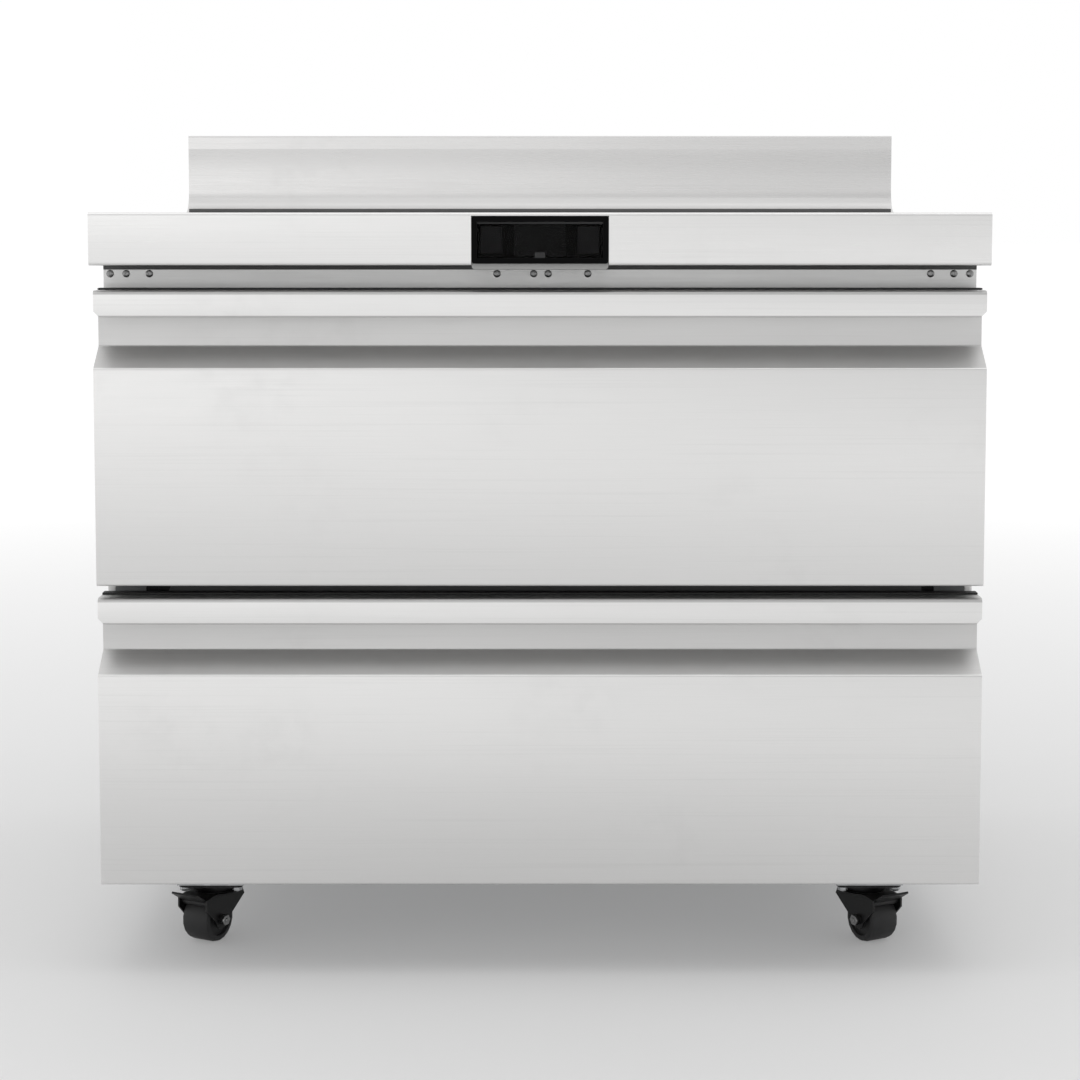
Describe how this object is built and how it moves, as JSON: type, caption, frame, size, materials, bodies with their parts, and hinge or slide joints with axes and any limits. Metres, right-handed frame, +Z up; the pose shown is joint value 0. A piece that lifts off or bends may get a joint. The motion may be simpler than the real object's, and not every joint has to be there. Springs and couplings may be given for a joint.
{
  "type": "worktop drawer refrigerator",
  "caption": "Low stainless refrigerator with full-width drawers on roller slides, a worktop with a backsplash, a controller in the worktop's front edge, and swivel casters.",
  "frame": {"origin": "on the floor, under the middle of the bounding box", "axes": "+X to the right as seen from the front, +Y to the back (the backsplash), +Z up"},
  "size_m": [0.922, 0.762, 0.897],
  "materials": {
    "stainless": "brushed satin",
    "galvanised": "zinc-coated sheet",
    "aluminium": "mill finish",
    "foam": "rigid foam",
    "liner_white": "smooth white",
    "grey_plastic": "fine grain",
    "black_plastic": "satin",
    "smoked_plastic": "smoked, polished",
    "display_glass": "polished",
    "rubber": "matt",
    "black_paint": "black enamel",
    "copper": "drawn copper"
  },
  "bodies": {
    "cabinet": {"worktop": "stainless", "left_side_panel": "stainless", "right_side_panel": "stainless", "base_panel": "galvanised", "back_panel": "galvanised", "machine_cover": "galvanised", "inner_liner": "liner_white", "insulation": "foam", "top_rail": "stainless", "front_frame": "grey_plastic", "mullion": "stainless", "controller_bracket": "stainless", "controller_bezel": "black_plastic", "controller_display": "display_glass", "compressor": "black_paint", "unit_tray": "galvanised", "condenser_coil": "aluminium", "condenser_shroud": "black_plastic", "condenser_fan_motor": "black_paint", "suction_line": "copper", "liquid_line": "copper", "cord_gland": "black_plastic", "evaporator_coil": "aluminium", "evaporator_cover": "liner_white", "evaporator_fan_motor": "black_paint", "upper_left_cabinet_rail": "galvanised", "upper_right_cabinet_rail": "galvanised", "lower_left_cabinet_rail": "galvanised", "lower_right_cabinet_rail": "galvanised"},
    "upper_drawer": {"upper_drawer_front": "stainless", "upper_inner_panel": "liner_white", "upper_gasket": "rubber", "upper_drawer_frame": "stainless"},
    "upper_cabinet_rollers": {"upper_left_cabinet_roller": "grey_plastic", "upper_right_cabinet_roller": "grey_plastic"},
    "upper_drawer_rollers": {"upper_left_drawer_roller": "grey_plastic", "upper_right_drawer_roller": "grey_plastic"},
    "lower_drawer": {"lower_drawer_front": "stainless", "lower_inner_panel": "liner_white", "lower_gasket": "rubber", "lower_drawer_frame": "stainless"},
    "lower_cabinet_rollers": {"lower_left_cabinet_roller": "grey_plastic", "lower_right_cabinet_roller": "grey_plastic"},
    "lower_drawer_rollers": {"lower_left_drawer_roller": "grey_plastic", "lower_right_drawer_roller": "grey_plastic"},
    "controller_cover": {"controller_cover": "smoked_plastic"},
    "left_key": {"left_key": "black_plastic"},
    "right_key": {"right_key": "black_plastic"},
    "condenser_fan_blade": {"condenser_fan_blade": "black_plastic"},
    "evaporator_fan_blade": {"evaporator_fan_blade": "black_plastic"},
    "front_left_fork": {"front_left_fork": "black_paint"},
    "front_left_wheel": {"front_left_wheel": "rubber"},
    "front_left_brake": {"front_left_brake": "black_plastic"},
    "front_right_fork": {"front_right_fork": "black_paint"},
    "front_right_wheel": {"front_right_wheel": "rubber"},
    "front_right_brake": {"front_right_brake": "black_plastic"},
    "rear_left_fork": {"rear_left_fork": "black_paint"},
    "rear_left_wheel": {"rear_left_wheel": "rubber"},
    "rear_right_fork": {"rear_right_fork": "black_paint"},
    "rear_right_wheel": {"rear_right_wheel": "rubber"}
  },
  "joints": [
    {"name": "upper_drawer_slide", "type": "slide", "parent": "cabinet", "child": "upper_drawer", "axis": [0, -1, 0], "range_m": [0, 0.35]},
    {"name": "upper_cabinet_rollers_spin", "type": "hinge", "parent": "cabinet", "child": "upper_cabinet_rollers", "pos_m": [0, -0.283, 0.4691], "axis": [1, 0, 0], "range_deg": [0, 1230.28]},
    {"name": "upper_drawer_rollers_spin", "type": "hinge", "parent": "upper_drawer", "child": "upper_drawer_rollers", "pos_m": [0, 0.11, 0.47], "axis": [1, 0, 0], "range_deg": [0, 1165.9]},
    {"name": "lower_drawer_slide", "type": "slide", "parent": "cabinet", "child": "lower_drawer", "axis": [0, -1, 0], "range_m": [0, 0.35]},
    {"name": "lower_cabinet_rollers_spin", "type": "hinge", "parent": "cabinet", "child": "lower_cabinet_rollers", "pos_m": [0, -0.283, 0.1541], "axis": [1, 0, 0], "range_deg": [0, 1230.28]},
    {"name": "lower_drawer_rollers_spin", "type": "hinge", "parent": "lower_drawer", "child": "lower_drawer_rollers", "pos_m": [0, 0.11, 0.155], "axis": [1, 0, 0], "range_deg": [0, 1165.9]},
    {"name": "controller_cover_hinge", "type": "hinge", "parent": "cabinet", "child": "controller_cover", "pos_m": [0, -0.3798, 0.7863], "axis": [-1, 0, 0], "range_deg": [0, 95]},
    {"name": "left_key_press", "type": "slide", "parent": "cabinet", "child": "left_key", "axis": [0, 1, 0], "range_m": [0, 0.001], "stiffness_N_per_m": 400, "springref_m": -0.001},
    {"name": "right_key_press", "type": "slide", "parent": "cabinet", "child": "right_key", "axis": [0, 1, 0], "range_m": [0, 0.001], "stiffness_N_per_m": 400, "springref_m": -0.001},
    {"name": "condenser_fan_spin", "type": "hinge", "parent": "cabinet", "child": "condenser_fan_blade", "pos_m": [-0.25, 0.2865, 0.1916], "axis": [0, 1, 0], "continuous": true},
    {"name": "evaporator_fan_spin", "type": "hinge", "parent": "cabinet", "child": "evaporator_fan_blade", "pos_m": [0, 0.1892, 0.5466], "axis": [0, 1, 0], "continuous": true},
    {"name": "front_left_swivel", "type": "hinge", "parent": "cabinet", "child": "front_left_fork", "pos_m": [-0.359, -0.233, 0], "axis": [0, 0, 1], "continuous": true},
    {"name": "front_left_wheel_spin", "type": "hinge", "parent": "front_left_fork", "child": "front_left_wheel", "pos_m": [-0.3655, -0.24426, 0.025], "axis": [-0.866, 0.5, 0], "continuous": true},
    {"name": "front_left_brake_press", "type": "hinge", "parent": "front_left_fork", "child": "front_left_brake", "pos_m": [-0.37575, -0.26201, 0.047], "axis": [0.866, -0.5, 0], "range_deg": [0, 25]},
    {"name": "front_right_swivel", "type": "hinge", "parent": "cabinet", "child": "front_right_fork", "pos_m": [0.359, -0.233, 0], "axis": [0, 0, 1], "continuous": true},
    {"name": "front_right_wheel_spin", "type": "hinge", "parent": "front_right_fork", "child": "front_right_wheel", "pos_m": [0.3655, -0.24426, 0.025], "axis": [-0.866, -0.5, 0], "continuous": true},
    {"name": "front_right_brake_press", "type": "hinge", "parent": "front_right_fork", "child": "front_right_brake", "pos_m": [0.37575, -0.26201, 0.047], "axis": [0.866, 0.5, 0], "range_deg": [0, 25]},
    {"name": "rear_left_swivel", "type": "hinge", "parent": "cabinet", "child": "rear_left_fork", "pos_m": [-0.359, 0.261, 0], "axis": [0, 0, 1], "continuous": true},
    {"name": "rear_left_wheel_spin", "type": "hinge", "parent": "rear_left_fork", "child": "rear_left_wheel", "pos_m": [-0.35586, 0.27361, 0.025], "axis": [0.9703, -0.2419, 0], "continuous": true},
    {"name": "rear_right_swivel", "type": "hinge", "parent": "cabinet", "child": "rear_right_fork", "pos_m": [0.359, 0.261, 0], "axis": [0, 0, 1], "continuous": true},
    {"name": "rear_right_wheel_spin", "type": "hinge", "parent": "rear_right_fork", "child": "rear_right_wheel", "pos_m": [0.35586, 0.27361, 0.025], "axis": [0.9703, 0.2419, 0], "continuous": true}
  ],
  "couplings": [
    {"joint": "upper_cabinet_rollers_spin", "follows": "upper_drawer_slide", "rad_per_m": 61.35},
    {"joint": "upper_drawer_rollers_spin", "follows": "upper_drawer_slide", "rad_per_m": 58.139},
    {"joint": "lower_cabinet_rollers_spin", "follows": "lower_drawer_slide", "rad_per_m": 61.35},
    {"joint": "lower_drawer_rollers_spin", "follows": "lower_drawer_slide", "rad_per_m": 58.139}
  ]
}
